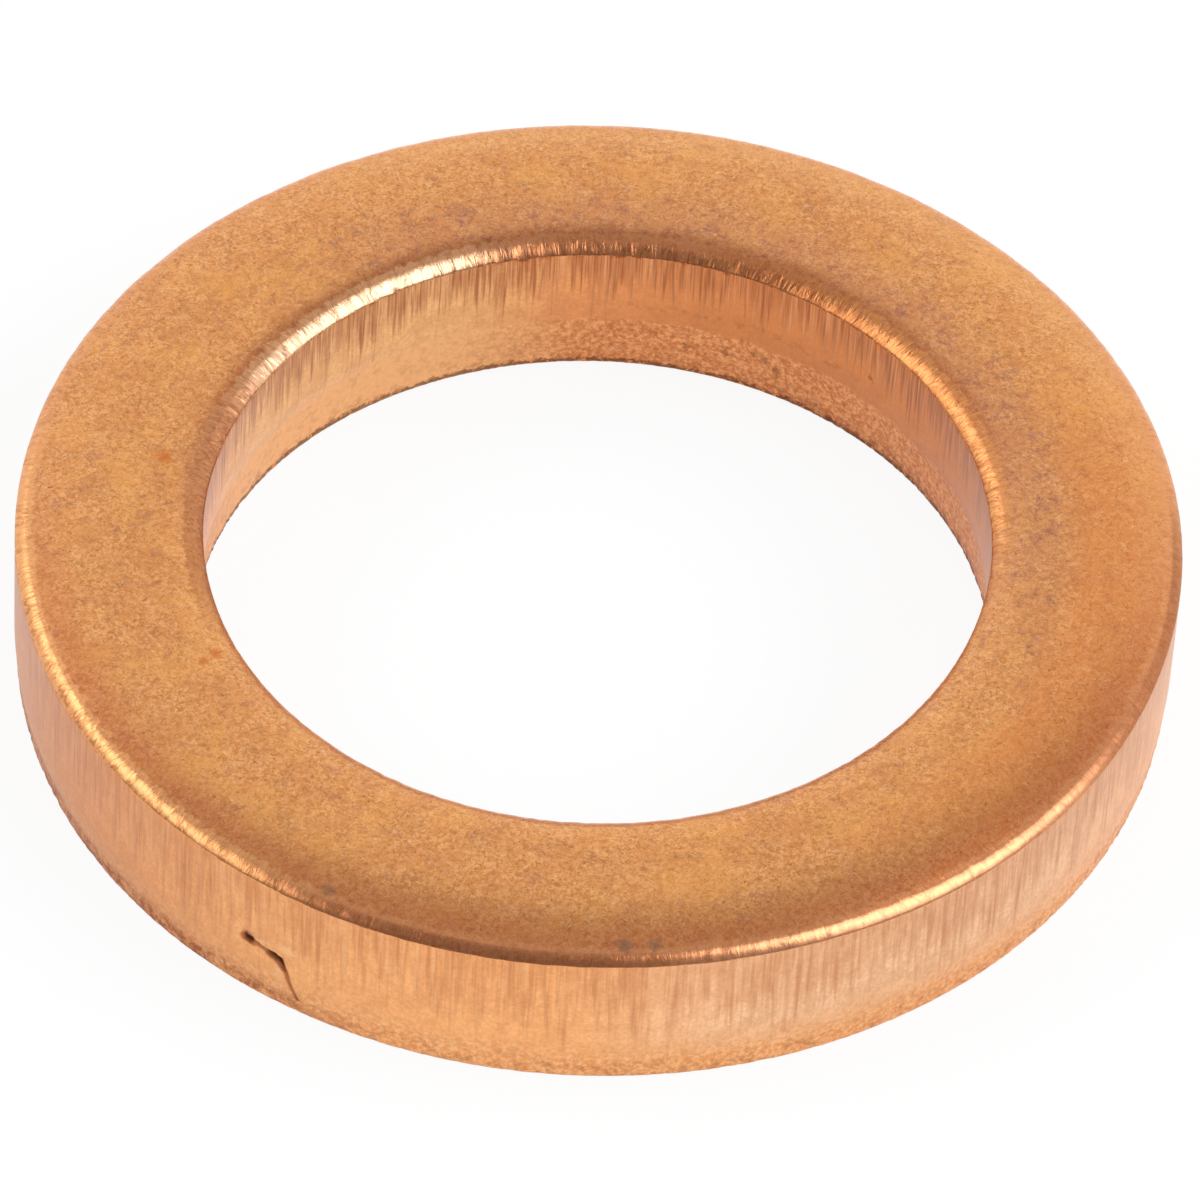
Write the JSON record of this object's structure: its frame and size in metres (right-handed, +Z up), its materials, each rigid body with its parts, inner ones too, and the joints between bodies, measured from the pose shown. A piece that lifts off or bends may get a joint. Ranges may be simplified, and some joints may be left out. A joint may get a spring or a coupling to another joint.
{
  "type": "banjo washer",
  "caption": "Flat copper sealing ring for a banjo bolt joint, stamped from strip, with rounded die-rolled edges on its top face and a small tear in its outer wall.",
  "frame": {"origin": "centre of the ring at its bottom face, the one away from the die roll", "axes": "+Z up the ring's axis towards the die-rolled face; +X and +Y across the ring, with the pictured side facing -Y"},
  "size_m": [0.015, 0.015, 0.0023],
  "materials": {
    "copper": "annealed copper, satin face with light brown tarnish, brighter drawn and torn walls"
  },
  "bodies": {
    "root": {"banjo_washer": "copper"}
  },
  "joints": []
}
